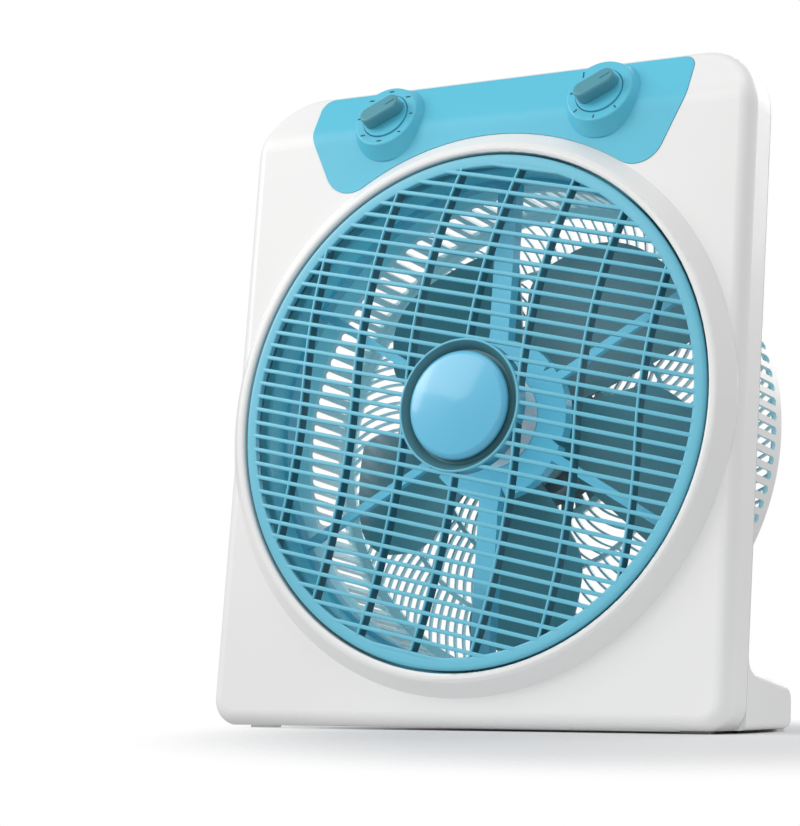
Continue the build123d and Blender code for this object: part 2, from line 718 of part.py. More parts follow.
def blade():
    """One broad twisted blade pointing to the right, raked back, with a full outer corner."""
    root = blade_section(HUB_R - 4, 46, 36, 63.0)
    waist = blade_section(92.0, 136, 21, 73.0)
    tip = blade_section(TIP_R + 2, 160, 17, 77.0)
    body = loft([root, waist, tip])
    upper_root = (20.0, 11.5)
    upper_bend = (88.0, 51.0)
    upper_tip = (TIP_R, 30.0)
    lower_tip = (TIP_R, -68.8)
    lower_root = (20.0, -9.75)
    plan = Polygon(lower_root, lower_tip, upper_tip, upper_bend, upper_root, align=None)
    for corner, radius in ((upper_bend, 30.0), (upper_tip, 42.0), (lower_tip, 22.0)):
        plan = fillet(plan.vertices().sort_by_distance((*corner, 0))[0], radius)
    return body & slab(Pos(0, AXIS) * plan, 30, 105) & rod(TIP_R, 30, 105)


def impeller():
    hub = turned(
        [
            (SHAFT_R, HUB_NEAR), (HUB_R, HUB_NEAR), (HUB_R, HUB_FAR), (HUB_R - 2.5, HUB_FAR),
            (HUB_R - 2.5, HUB_NEAR + 3), (10, HUB_NEAR + 3), (10, HUB_NEAR + 22), (SHAFT_R, HUB_NEAR + 22),
        ],
        {1: 6.0},
    )
    single = blade() - rod(HUB_R - 1.5, 20, 100)
    blades = [round_fan(single, BLADE_PHASE + 360 / BLADES * k) for k in range(BLADES)]
    return LEANED * hub.fuse(*blades)


def impeller_nut():
    """Winged spinner nut that holds the impeller on the shaft."""
    seat = HUB_NEAR - 0.05
    nut = turned([(0, 38), (9, 38), (15, 43), (15, seat), (SHAFT_R, seat), (SHAFT_R, 42), (0, 42)], {1: 2.5})
    for k in range(3):
        wing = Pos(15, 43.5, AXIS) * Box(6, 6, 3)
        nut += round_fan(wing, 120 * k)
    return LEANED * nut


def motor_shaft():
    return LEANED * rod(SHAFT_R, 42.5, 115.0)


def rotor():
    core = turned([(SHAFT_R, 87), (20, 87), (23.6, CORE_FRONT), (23.6, CORE_BACK), (20, 107), (SHAFT_R, 107)])
    return LEANED * core


def motor_bearings():
    spans = ((MOTOR_FRONT + 1.5, MOTOR_FRONT + 6.5), (MOTOR_BACK - 6.0, MOTOR_BACK - 2.6))
    bore = SHAFT_R + RUNNING
    return [LEANED * turned([(bore, a), (7.0, a), (7.0, b), (bore, b)]) for a, b in spans]


def motor_bell(face, core, stop):
    """Pressed motor end cap with its bearing seat; face is the outer end, core the end against the stack."""
    sign = 1 if core > face else -1
    wall = 1.6
    bell = turned(
        [
            (7.0, face), (20, face), (MOTOR_R, face + 4 * sign), (MOTOR_R, core), (MOTOR_R - wall, core),
            (MOTOR_R - wall, face + 5 * sign), (20, face + wall * sign), (9, face + wall * sign),
            (9, stop), (7.0, stop),
        ]
    )
    return bell


SCREW_RING_R = 36.5
SCREW_RING_ANGLES = (0, 90, 180, 270)


def with_ring_holes(part, radius):
    for angle in SCREW_RING_ANGLES:
        x, height = polar(SCREW_RING_R, angle)
        part = part - rod(radius, 70, 130, x, height)
    return part


def motor_front_bell():
    bell = motor_bell(MOTOR_FRONT, CORE_FRONT, MOTOR_FRONT + 6.5)
    for k in range(8):
        slot = slab(Pos(*polar(27.0, 45 * k + 22.5)) * Rot(0, 0, 45 * k + 22.5) * SlotOverall(11, 4), 70, 86)
        bell -= slot
    return LEANED * with_ring_holes(bell, 2.1)


def motor_rear_bell():
    bell = motor_bell(MOTOR_BACK, CORE_BACK, MOTOR_BACK - 6.0)
    for angle in SCREW_RING_ANGLES:
        bell += rod(4.2, MOTOR_BACK - 5, MOTOR_BACK - 2, *polar(SCREW_RING_R, angle))
    for angle in MOUNT_ANGLES:
        x, height = polar(MOUNT_R, angle)
        bell += rod(4.6, MOTOR_BACK - 4.5, MOTOR_BACK, x, height)
        bell -= rod(SCREW_R + 0.02, 100, 120, x, height)
    return LEANED * with_ring_holes(bell, 2.1)


def stator_core():
    """Laminated stack with eight winding slots round the rotor."""
    core = turned([(24.0, CORE_FRONT), (MOTOR_R, CORE_FRONT), (MOTOR_R, CORE_BACK), (24.0, CORE_BACK)])
    for k in range(8):
        slot = slab(Pos(*polar(29.0, 45 * k)) * Rot(0, 0, 45 * k) * SlotOverall(9.0, 5.0), 80, 110)
        mouth = slab(Pos(*polar(25.0, 45 * k)) * Rot(0, 0, 45 * k) * Rectangle(4.0, 2.0), 80, 110)
        core -= slot + mouth
    return LEANED * with_ring_holes(core, 2.05)


def stator_coils():
    """Winding: two end rings joined by the wire bundles that fill the slots."""
    near = turned([(25, 85.5), (33, 85.5), (33, CORE_FRONT - 0.1), (25, CORE_FRONT - 0.1)], {0: 1.5, 1: 1.5})
    far = turned([(25, CORE_BACK + 0.1), (33, CORE_BACK + 0.1), (33, 107.6), (25, 107.6)], {2: 1.5, 3: 1.5})
    coils = near + far
    for k in range(8):
        bundle = Pos(*polar(29.0, 45 * k)) * Rot(0, 0, 45 * k) * SlotOverall(8.0, 4.2)
        coils += slab(bundle, CORE_FRONT - 1, CORE_BACK + 1)
    return LEANED * coils


def motor_screws():
    """Long screws that clamp both end caps on the stack."""
    screws = []
    for angle in SCREW_RING_ANGLES:
        x, height = polar(SCREW_RING_R, angle)
        screws.append(LEANED * screw(x, height, MOTOR_BACK - 2, MOTOR_FRONT + 4.5, 1.9, 3.6))
    return screws


def motor_mount_screws():
    spots = [polar(MOUNT_R, angle) for angle in MOUNT_ANGLES]
    return [LEANED * screw(x, h, CUP_BACK, MOTOR_BACK - 4, SCREW_R, SCREW_HEAD_R) for x, h in spots]


# ---------------------------------------------------------------- controls
def knob(side):
    """Round skirt of a control knob, let into its dial and hollow round the nut."""
    skirt = dial_rod(side, KNOB_R, -3.1, 1.2)
    skirt = fillet(skirt.edges().sort_by_distance(on_dial(side, 0, KNOB_R, 1.2))[0], 0.6)
    skirt -= dial_rod(side, 9.8, -10, -0.3)
    skirt -= dial_rod(side, SPINDLE_R + 0.01, -10, 10)
    return LEANED * skirt


def knob_grip(side):
    """Bar grip of a control knob, with rounded ends and a raised pointer line."""
    long = 29.0
    wide = 12.0
    high = 8.8
    bar = extrude(SlotOverall(long, wide), high)
    bar = fillet(bar.edges().group_by(Axis.Z)[-1], 1.8)
    bar += Pos(long / 2 - 6.0, 0, high) * Box(7.0, 1.2, 0.8)
    bar -= Pos(0, 0, 3.3) * Cylinder(SPINDLE_R + 0.01, 6.6)
    return LEANED * dial_frame(side) * Pos(0, 0, 1.2) * Rot(0, 0, GRIP_ANGLE) * bar


def spindle(side):
    return LEANED * dial_rod(side, SPINDLE_R, -20, 7.6)


def bushing(side):
    """Threaded neck of a timer or switch, through the dial and bored for the spindle."""
    return dial_rod(side, 5.0, -12.0, -0.7)


def timer_mechanism():
    """Round clockwork timer behind the left dial."""
    case = dial_rod(-1, 19.0, -31, -6.1)
    case += dial_frame(-1) * (Pos(0, 0, -29) * Box(30, 44, 4))
    case += dial_frame(-1) * (Pos(0, 0, -33) * Box(10, 16, 5))
    case += bushing(-1)
    return LEANED * (case - dial_rod(-1, SPINDLE_R + RUNNING, -21, 10))


def speed_switch():
    """Square rotary switch behind the right dial, with its row of terminals."""
    case = dial_frame(1) * (Pos(0, 0, -14) * Box(26, 24, 15.8))
    for k in range(5):
        case += dial_frame(1) * (Pos(-10 + 5 * k, -14, -17) * Box(2.6, 6.0, 0.8))
    case += bushing(1)
    return LEANED * (case - dial_rod(1, SPINDLE_R + RUNNING, -21, 10))


def control_nuts():
    nuts = []
    for side in (-1, 1):
        hexagon = extrude(RegularPolygon(7.4, 6), 2.4)
        nut = dial_frame(side) * (Pos(0, 0, -3.4) * hexagon) - dial_rod(side, 5.02, -10, 10)
        nuts.append(LEANED * nut)
    return nuts


# ---------------------------------------------------------------- small parts
def cord_gland():
    """Strain-relief bush in the rear casing's back wall, bored for a mains cord."""
    x, height = GLAND_AT
    gland = rod(GLAND_R, REAR_DEPTH - 4.0, REAR_DEPTH + 8, x, height)
    gland += rod(GLAND_R + 2, REAR_DEPTH + 0.05, REAR_DEPTH + 2.5, x, height)
    gland = fillet(gland.edges().sort_by(Axis.Y)[-1], 1.5)
    return LEANED * (gland - rod(3.3, 0, 200, x, height))


CAPACITOR_X = 150.0
CAPACITOR_SCREW_HEIGHT = 52.0


def capacitor():
    """Motor run capacitor: a moulded block with a thick fixing ear, against the rear casing's back wall."""
    wall_at = REAR_DEPTH - WALL
    block = Pos(CAPACITOR_X, wall_at - 8, CAPACITOR_SCREW_HEIGHT + 23) * Box(14, 16, 34)
    block = fillet(block.edges(), 1.2)
    ear = Pos(CAPACITOR_X, wall_at - 3, CAPACITOR_SCREW_HEIGHT + 1.5) * Box(12, 6, 13)
    return LEANED * (block + ear - rod(SCREW_R + 0.02, 30, 80, CAPACITOR_X, CAPACITOR_SCREW_HEIGHT))


def capacitor_screw():
    return LEANED * screw(CAPACITOR_X, CAPACITOR_SCREW_HEIGHT, REAR_DEPTH, REAR_DEPTH - 8)


def front_foot_pads():
    """Two moulded pads under the front edge, let into the casing's underside."""
    pads = []
    for side in (-1, 1):
        pad = Pos(side * 154.0, 23.5, FLOOR_GAP / 2) * Box(20.0, 8.0, FLOOR_GAP)
        pads.append(fillet(pad.edges().filter_by(Axis.Z), 2.0))
    return pads


def rear_foot_pads():
    pads = []
    for side in (-1, 1):
        x = side * (WIDTH / 2 - FOOT_WIDE / 2)
        pad = Pos(x, 88.0, FLOOR_GAP / 2) * Box(FOOT_WIDE - 6.0, 12.0, FLOOR_GAP)
        pads.append(fillet(pad.edges().filter_by(Axis.Z), 3.0))
    return pads


def shell_screws():
    return [LEANED * screw(x, h, SEAM + 6, 14) for x, h in SHELL_SCREWS]


def duct_screws():
    spots = [polar(DUCT_SCREW_R, angle) for angle in DUCT_SCREW_ANGLES]
    return [LEANED * screw(x, h, DUCT_FRONT + 2, 0, 1.4, 2.8) for x, h in spots]


def guard_screws():
    spots = [polar(GUARD_SCREW_R, angle) for angle in GUARD_SCREW_ANGLES]
    return [LEANED * screw(x, h, REAR_DEPTH + 2.6, REAR_DEPTH - 8) for x, h in spots]


# ---------------------------------------------------------------- the whole fan
NODES = {
    "front_shell": front_shell(),
    "rear_shell": rear_shell(),
    "control_panel": control_panel(),
    "inner_duct": inner_duct(),
    "front_spider": front_spider(),
    "rear_guard": rear_guard(),
    "carry_handle": carry_handle(),
    "handle_pins": handle_pins(),
    "louvre_grille": louvre_grille(),
    "hub_bezel": hub_bezel(),
    "hub_cap": hub_cap(),
    "louvre_shaft": louvre_shaft(),
    "louvre_motor": louvre_motor(),
    "louvre_motor_screws": louvre_motor_screws(),
    "impeller": impeller(),
    "impeller_nut": impeller_nut(),
    "motor_shaft": motor_shaft(),
    "rotor": rotor(),
    "motor_bearings": motor_bearings(),
    "stator_core": stator_core(),
    "stator_coils": stator_coils(),
    "motor_front_bell": motor_front_bell(),
    "motor_rear_bell": motor_rear_bell(),
    "motor_screws": motor_screws(),
    "motor_mount_screws": motor_mount_screws(),
    "timer_knob": knob(-1),
    "timer_knob_grip": knob_grip(-1),
    "timer_shaft": spindle(-1),
    "timer_mechanism": timer_mechanism(),
    "speed_knob": knob(1),
    "speed_knob_grip": knob_grip(1),
    "speed_shaft": spindle(1),
    "speed_switch": speed_switch(),
    "control_nuts": control_nuts(),
    "cord_gland": cord_gland(),
    "capacitor": capacitor(),
    "capacitor_screw": capacitor_screw(),
    "front_foot_pads": front_foot_pads(),
    "rear_foot_pads": rear_foot_pads(),
    "shell_screws": shell_screws(),
    "duct_screws": duct_screws(),
    "guard_screws": guard_screws(),
}


def solids_of(shape):
    """Every solid of a part or of a list of parts."""
    pieces = shape if isinstance(shape, list) else [shape]
    return [solid for piece in pieces for solid in piece.solids()]


FAN = {name: solids_of(shape) for name, shape in NODES.items()}
WHOLE = Compound([solid for solids in FAN.values() for solid in solids]).bounding_box()
CENTRED = Pos(0, -(WHOLE.min.Y + WHOLE.max.Y) / 2, 0)

for name, solids in FAN.items():
    placed = [CENTRED * solid for solid in solids]
    export_step(placed[0] if len(placed) == 1 else Compound(placed), f"parts/{name}.step")

ANCHORS = {
    "fan axis": Pos(0, 0, AXIS),
    "timer dial": dial_frame(-1),
    "speed dial": dial_frame(1),
    "handle hinge": Pos(0, *HANDLE_AXIS),
}
for label, place in ANCHORS.items():
    print(label, (CENTRED * LEANED * place).position)
print("overall size", WHOLE.size, "nodes", len(FAN))
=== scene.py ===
import json
import math

import bmesh
import bpy
from mathutils import Matrix, Vector


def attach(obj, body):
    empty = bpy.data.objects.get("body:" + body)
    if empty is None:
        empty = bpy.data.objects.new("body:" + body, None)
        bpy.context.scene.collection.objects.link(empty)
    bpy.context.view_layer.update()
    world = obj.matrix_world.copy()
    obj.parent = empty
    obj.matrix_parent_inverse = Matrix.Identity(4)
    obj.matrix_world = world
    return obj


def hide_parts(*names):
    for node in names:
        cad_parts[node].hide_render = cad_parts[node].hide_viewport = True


MM = 0.001

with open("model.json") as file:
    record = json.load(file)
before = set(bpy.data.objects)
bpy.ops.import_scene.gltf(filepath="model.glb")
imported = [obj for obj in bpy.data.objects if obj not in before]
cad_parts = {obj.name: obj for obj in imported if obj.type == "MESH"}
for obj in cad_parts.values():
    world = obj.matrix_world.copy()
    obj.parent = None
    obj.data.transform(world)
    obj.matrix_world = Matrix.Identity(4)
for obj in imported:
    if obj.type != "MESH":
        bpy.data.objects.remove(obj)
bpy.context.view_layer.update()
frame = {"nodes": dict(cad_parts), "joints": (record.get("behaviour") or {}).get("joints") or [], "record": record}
NODES = frame["nodes"]
JOINTS = {joint["name"]: joint for joint in frame["joints"]}


# ---------------------------------------------------------------- places taken from the frame
def lean_of(axis):
    """How far an axis that points forward and up is tilted from level."""
    return math.atan2(axis[2], -axis[1])


FAN = Vector(JOINTS["louvre_spin"]["pos_m"])
LEAN = lean_of(JOINTS["louvre_spin"]["axis"])
FACE = Matrix.Translation(FAN) @ Matrix.Rotation(-LEAN, 4, "X")      # fan axis at the face: x, depth, height
LOUVRE_ANGLE = math.radians(12.0)
LOUVRE = FACE @ Matrix.Rotation(LOUVRE_ANGLE, 4, "Y")


def dial_place(joint):
    """Place of a dial: x to the right, y up the dial, z out of it."""
    tilt = lean_of(JOINTS[joint]["axis"])
    return Matrix.Translation(Vector(JOINTS[joint]["pos_m"])) @ Matrix.Rotation(math.pi / 2 - tilt, 4, "X")


# ---------------------------------------------------------------- mesh helpers
def make_object(name, bm, place, body, material, smooth_angle=35.0):
    """Turns a bmesh in millimetres into a placed object that rides on a body."""
    bmesh.ops.remove_doubles(bm, verts=bm.verts, dist=1e-5)
    bmesh.ops.recalc_face_normals(bm, faces=bm.faces)
    mesh = bpy.data.meshes.new(name)
    bm.to_mesh(mesh)
    bm.free()
    mesh.transform(place @ Matrix.Scale(MM, 4))
    obj = bpy.data.objects.new(name, mesh)
    bpy.context.scene.collection.objects.link(obj)
    mesh.materials.append(material)
    shade(obj, smooth_angle)
    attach(obj, body)
    return obj


def shade(obj, angle):
    """Smooth faces, with creases where they meet at more than the angle."""
    mesh = obj.data
    for polygon in mesh.polygons:
        polygon.use_smooth = True
    mesh.set_sharp_from_angle(angle=math.radians(angle))


def rounded(points, radii, steps=5):
    """Rounds the corners of a closed outline; radii maps a corner's number to its radius."""
    out = []
    count = len(points)
    for i, point in enumerate(points):
        corner = Vector(point)
        radius = radii.get(i, 0.0)
        if radius == 0.0:
            out.append(corner)
            continue
        back = (Vector(points[i - 1]) - corner).normalized()
        ahead = (Vector(points[(i + 1) % count]) - corner).normalized()
        half = back.angle(ahead) / 2
        reach = radius / math.tan(half)
        centre = corner + (back + ahead).normalized() * (radius / math.sin(half))
        start = corner + back * reach - centre
        sweep = (corner + ahead * reach - centre).angle_signed(start)
        for k in range(steps + 1):
            turn = Matrix.Rotation(sweep * k / steps, 2)
            out.append(centre + turn @ start)
    return out


def lathe(bm, outline, segments=180):
    """Revolves a closed outline of (radius, depth) points about the depth axis."""
    rings = []
    for radius, depth in outline:
        if radius < 1e-6:
            rings.append([bm.verts.new((0, depth, 0))] * segments)
            continue
        ring = []
        for k in range(segments):
            angle = 2 * math.pi * k / segments
            ring.append(bm.verts.new((radius * math.cos(angle), depth, radius * math.sin(angle))))
        rings.append(ring)
    count = len(rings)
    for i in range(count):
        near, far = rings[i], rings[(i + 1) % count]
        for k in range(segments):
            j = (k + 1) % segments
            corners = [near[k], near[j], far[j], far[k]]
            unique = list(dict.fromkeys(corners))
            if len(unique) > 2:
                bm.faces.new(unique)


# ---------------------------------------------------------------- materials
def principled(name, base, roughness, metallic=0.0, coat=0.0, spec=0.5):
    """A new node material with one Principled shader; returns material, nodes, links and shader."""
    material = bpy.data.materials.new(name)
    material.use_nodes = True
    nodes = material.node_tree.nodes
    links = material.node_tree.links
    shader = nodes["Principled BSDF"]
    shader.inputs["Base Color"].default_value = (*base, 1.0)
    shader.inputs["Roughness"].default_value = roughness
    shader.inputs["Metallic"].default_value = metallic
    shader.inputs["Coat Weight"].default_value = coat
    shader.inputs["Coat Roughness"].default_value = 0.12
    shader.inputs["Specular IOR Level"].default_value = spec
    return material, nodes, links, shader


def moulded(name, base, roughness, coat=0.0, grain=900.0, bump=0.05, tint=0.05, spec=0.5):
    """Injection-moulded plastic: faint flow shading, a fine spark-eroded grain and uneven gloss."""
    material, nodes, links, shader = principled(name, base, roughness, coat=coat, spec=spec)
    where = nodes.new("ShaderNodeTexCoord").outputs["Object"]
    flow = nodes.new("ShaderNodeTexNoise")
    flow.inputs["Scale"].default_value = 6.0
    flow.inputs["Detail"].default_value = 3.0
    links.new(where, flow.inputs["Vector"])
    ramp = nodes.new("ShaderNodeValToRGB")
    ramp.color_ramp.elements[0].position = 0.3
    ramp.color_ramp.elements[1].position = 0.7
    dark = [c * (1.0 - tint) for c in base]
    light = [min(1.0, c * (1.0 + tint)) for c in base]
    ramp.color_ramp.elements[0].color = (*dark, 1.0)
    ramp.color_ramp.elements[1].color = (*light, 1.0)
    links.new(flow.outputs["Fac"], ramp.inputs["Fac"])
    links.new(ramp.outputs["Color"], shader.inputs["Base Color"])
    gloss = nodes.new("ShaderNodeTexNoise")
    gloss.inputs["Scale"].default_value = 45.0
    gloss.inputs["Detail"].default_value = 4.0
    links.new(where, gloss.inputs["Vector"])
    spread = nodes.new("ShaderNodeMapRange")
    spread.inputs["To Min"].default_value = roughness - 0.05
    spread.inputs["To Max"].default_value = roughness + 0.06
    links.new(gloss.outputs["Fac"], spread.inputs["Value"])
    links.new(spread.outputs["Result"], shader.inputs["Roughness"])
    fine = nodes.new("ShaderNodeTexNoise")
    fine.inputs["Scale"].default_value = grain
    fine.inputs["Detail"].default_value = 2.0
    links.new(where, fine.inputs["Vector"])
    relief = nodes.new("ShaderNodeBump")
    relief.inputs["Strength"].default_value = bump
    relief.inputs["Distance"].default_value = 0.0002
    links.new(fine.outputs["Fac"], relief.inputs["Height"])
    links.new(relief.outputs["Normal"], shader.inputs["Normal"])
    return material


def metal(name, base, roughness, stretch=(1.0, 40.0, 1.0), bump=0.08):
    """Turned or plated metal: fine streaks in colour, gloss and relief."""
    material, nodes, links, shader = principled(name, base, roughness, metallic=1.0)
    where = nodes.new("ShaderNodeTexCoord").outputs["Object"]
    mapping = nodes.new("ShaderNodeMapping")
    mapping.inputs["Scale"].default_value = stretch
    links.new(where, mapping.inputs["Vector"])
    streak = nodes.new("ShaderNodeTexNoise")
    streak.inputs["Scale"].default_value = 120.0
    streak.inputs["Detail"].default_value = 5.0
    links.new(mapping.outputs["Vector"], streak.inputs["Vector"])
    ramp = nodes.new("ShaderNodeValToRGB")
    ramp.color_ramp.elements[0].color = (*[c * 0.82 for c in base], 1.0)
    ramp.color_ramp.elements[1].color = (*[min(1.0, c * 1.1) for c in base], 1.0)
    links.new(streak.outputs["Fac"], ramp.inputs["Fac"])
    links.new(ramp.outputs["Color"], shader.inputs["Base Color"])
    spread = nodes.new("ShaderNodeMapRange")
    spread.inputs["To Min"].default_value = max(0.05, roughness - 0.08)
    spread.inputs["To Max"].default_value = roughness + 0.12
    links.new(streak.outputs["Fac"], spread.inputs["Value"])
    links.new(spread.outputs["Result"], shader.inputs["Roughness"])
    relief = nodes.new("ShaderNodeBump")
    relief.inputs["Strength"].default_value = bump
    relief.inputs["Distance"].default_value = 0.0002
    links.new(streak.outputs["Fac"], relief.inputs["Height"])
    links.new(relief.outputs["Normal"], shader.inputs["Normal"])
    return material


WHITE = moulded("white_abs", (0.875, 0.88, 0.875), 0.36, coat=0.10, bump=0.03, tint=0.012)
BLUE = moulded("light_blue_plastic", (0.15, 0.55, 0.72), 0.38, coat=0.12, bump=0.03, tint=0.04)
# Painted light: the inner duct gets a lighter copy of the blue plastic, brightened to stand in for the light
# inside the duct.
INNER_BLUE_PAINTED_LIGHT = moulded("inner_blue_painted_light", (0.24, 0.80, 0.94), 0.40, coat=0.05, bump=0.03, tint=0.04)
GUARD_WHITE_PAINTED_BOUNCE = moulded("guard_abs_painted_bounce", (0.875, 0.88, 0.875), 0.38, coat=0.08, bump=0.03, tint=0.012)
PANEL_BLUE = moulded("panel_blue_plastic", (0.09, 0.54, 0.73), 0.46, coat=0.10, bump=0.04, tint=0.04)
CAP_BLUE = moulded("cap_blue_plastic", (0.12, 0.56, 0.83), 0.45, coat=0.9, bump=0.02, tint=0.03)
# Painted shade: a darker copy of the louvre's blue for its deep walls, standing in for the shadow behind the
# louvre's front.
PAINTED_SHADE_BLUE = moulded("louvre_painted_shade", (0.035, 0.16, 0.20), 0.45, bump=0.03, tint=0.06)
TEAL = moulded("dark_teal_plastic", (0.085, 0.25, 0.30), 0.38, coat=0.1, bump=0.05, tint=0.06)
BLADE_TEAL = moulded("blade_teal_plastic", (0.085, 0.25, 0.29), 0.30, coat=0.15, bump=0.04, tint=0.06)
KNOB_TEAL = moulded("knob_teal_plastic", (0.07, 0.30, 0.38), 0.40, bump=0.05, tint=0.05)
BLACK = moulded("black_plastic", (0.02, 0.02, 0.022), 0.5, bump=0.12, tint=0.2)
PAD = moulded("pad_rubber", (0.72, 0.70, 0.62), 0.65, bump=0.15, tint=0.08, spec=0.3)
INK = moulded("dial_ink", (0.012, 0.09, 0.11), 0.55, bump=0.03, tint=0.15)
ZINC = metal("zinc_plate", (0.66, 0.67, 0.69), 0.32)
GROUND = metal("ground_steel", (0.74, 0.74, 0.76), 0.16, stretch=(1.0, 1.0, 30.0))
LAMINATED = metal("laminated_steel", (0.28, 0.29, 0.31), 0.42, stretch=(1.0, 60.0, 8.0), bump=0.3)
BRONZE = metal("sintered_bronze", (0.50, 0.33, 0.16), 0.45)
WINDING = metal("copper_winding", (0.55, 0.20, 0.07), 0.35, stretch=(1.0, 90.0, 1.0), bump=0.5)
PRESSED = moulded("pressed_grey_metal", (0.22, 0.23, 0.25), 0.38, coat=0.2, bump=0.05, tint=0.08)



def paint_bounce_light_inside(material, centre, tint):
    """Paints bounce light into the colour: faces that look towards a point take the tint, as if lit by light
    bounced off the blue duct; the others keep their colour.
    """
    nodes = material.node_tree.nodes
    links = material.node_tree.links
    shader = next(node for node in nodes if node.type == "BSDF_PRINCIPLED")
    plain = shader.inputs["Base Color"].links[0].from_socket
    place = nodes.new("ShaderNodeTexCoord")
    outward = nodes.new("ShaderNodeVectorMath")
    outward.operation = "SUBTRACT"
    outward.inputs[1].default_value = centre
    links.new(place.outputs["Object"], outward.inputs[0])
    facing = nodes.new("ShaderNodeVectorMath")
    facing.operation = "DOT_PRODUCT"
    links.new(place.outputs["Normal"], facing.inputs[0])
    links.new(outward.outputs["Vector"], facing.inputs[1])
    bounce_share = nodes.new("ShaderNodeMapRange")
    bounce_share.inputs["From Min"].default_value = 0.02
    bounce_share.inputs["From Max"].default_value = -0.02
    links.new(facing.outputs["Value"], bounce_share.inputs["Value"])
    mix = nodes.new("ShaderNodeMix")
    mix.data_type = "RGBA"
    mix.inputs["B"].default_value = (*tint, 1.0)
    links.new(bounce_share.outputs["Result"], mix.inputs["Factor"])
    links.new(plain, mix.inputs["A"])
    links.new(mix.outputs["Result"], shader.inputs["Base Color"])


MID_DUCT = FACE @ Vector((0.0, 0.05, 0.0))
# Painted light: the rear guard's faces that look into the duct take a pale cyan, as if lit by light bounced off
# the blue duct.
paint_bounce_light_inside(GUARD_WHITE_PAINTED_BOUNCE, MID_DUCT, (0.50, 0.84, 0.92))

SLOT_LOOK = {
    "white_plastic": WHITE, "blue_plastic": BLUE, "cap_blue": CAP_BLUE, "teal_plastic": TEAL,
    "knob_teal": KNOB_TEAL, "zinc_steel": ZINC, "bright_steel": GROUND, "rotor_steel": LAMINATED,
    "bronze": BRONZE, "copper_wire": WINDING, "motor_metal": PRESSED, "black_plastic": BLACK,
    "pad_rubber": PAD,
}
NODE_LOOK = {
    "control_panel": PANEL_BLUE, "impeller": BLADE_TEAL, "inner_duct": INNER_BLUE_PAINTED_LIGHT, "front_spider": BLUE,
    "front_foot_pads": WHITE, "rear_guard": GUARD_WHITE_PAINTED_BOUNCE, "timer_knob": PANEL_BLUE, "speed_knob": PANEL_BLUE,
}


def dress_cad():
    """Gives every CAD node its material."""
    slots = {part["node"]: part["material_slot"] for part in frame["record"]["subparts"]}
    for name, obj in NODES.items():
        look = NODE_LOOK.get(name, SLOT_LOOK[slots[name]])
        obj.data.materials.clear()
        obj.data.materials.append(look)


# ---------------------------------------------------------------- louvre
RIM_OUT = 165.0
RIM_IN = 157.0
RIM_FRONT = -10.0
DOME_RISE = 8.0
SLAT_PITCH = 8.7
SLAT_THICK = 2.8
SLAT_DEPTH = 4.6
BAR_PITCH = 41.3
BARS_EACH_SIDE = 3
BAR_THICK = 1.5
BAR_DEPTH = 9.0
BAR_LEAN = math.radians(12.0)       # a bar's lean from upright at its middle
BAR_BEND_R = 430.0
# The dark wall behind a bar's pale front edge is painted shade.
BAR_FRONT_DEPTH = 1.5               # pale front edge of a bar, before its dark wall
RIM_BACK = -6.0
RIM_SINK = 2.8                      # how far a strip's end runs into the rim
SKIRT_FRONT = -6.4
SKIRT_BACK = 4.0
SKIRT_WALL = 2.0
SHORTEST_RUN = 3.0
TURNS = 300                         # facets of the rim's rings
HUB_LIP_R = 42.9
HUB_LIP_WALL = 1.6
HUB_SINK = 0.8                      # how far a strip's start runs into the hub
HUB_FRONT = -18.6
HUB_DISC_FRONT = -11.0
HUB_DISC_BACK = -8.5
HUB_BORE_R = 6.5
HUB_BOSS_R = 9.0
SHAFT_R = 3.5


def dome_depth(radius):
    """Depth of the louvre's front surface, a shallow ball that rises towards the hub."""
    ball = (RIM_IN ** 2 + DOME_RISE ** 2) / (2 * DOME_RISE)
    return RIM_FRONT - 0.2 - DOME_RISE + ball - math.sqrt(ball ** 2 - radius ** 2)


def slat_line(height):
    """A straight level line at a height above the hub: place for a distance along it and across it."""
    return lambda along, across: (along, height + across)


def bar_line(offset):
    """An S-shaped upright line: it bends one way above the hub's level and the other way below."""
    def place(along, across):
        if along < 0:
            x, y = place(-along, -across)
            return (2 * offset - x, -y)
        turn = BAR_LEAN - along / BAR_BEND_R
        reach = BAR_BEND_R - across
        x = BAR_BEND_R * math.cos(BAR_LEAN) - reach * math.cos(turn)
        y = BAR_BEND_R * math.sin(BAR_LEAN) - reach * math.sin(turn)
        return (offset + x, y)
    return place


def strip_profile(thick, near, far, edge):
    """Section of a slat: soft front edges and slightly narrower back, as (across, behind the front)."""
    half = thick / 2
    taper = half * 0.78
    outline = [(-half, near), (half, near), (taper, far), (-taper, far)]
    return rounded(outline, {0: edge, 1: edge, 2: edge * 0.6, 3: edge * 0.6}, 4)


def strip(bm, line, start, end, section):
    """One run of a slat or bar along its line, its front following the dome."""
    stations = max(4, int((end - start) / 6))
    rings = []
    for k in range(stations + 1):
        along = start + (end - start) * k / stations
        front = dome_depth(min(math.hypot(*line(along, 0.0)), RIM_IN + 3.0))
        ring = []
        for across, behind in section:
            x, y = line(along, across)
            ring.append(bm.verts.new((x, front + behind, y)))
        rings.append(ring)
    count = len(section)
    for near, far in zip(rings, rings[1:]):
        for i in range(count):
            j = (i + 1) % count
            bm.faces.new((near[i], near[j], far[j], far[i]))
    bm.faces.new(rings[0])
    bm.faces.new(list(reversed(rings[-1])))


def runs(line, inner, outer):
    """Stretches of a line that lie between the hub and the rim."""
    step = 0.25
    span = int(170 / step)
    found = []
    start = None
    for k in range(-span, span + 1):
        radius = math.hypot(*line(k * step, 0.0))
        inside = inner <= radius <= outer
        if inside and start is None:
            start = k * step
        if not inside and start is not None:
            found.append((start, (k - 1) * step))
            start = None
    return [run for run in found if run[1] - run[0] > SHORTEST_RUN]


def strips(bm, line, section):
    """All runs of one slat or bar."""
    for start, end in runs(line, HUB_LIP_R - HUB_SINK, RIM_IN + RIM_SINK):
        strip(bm, line, start, end, section)


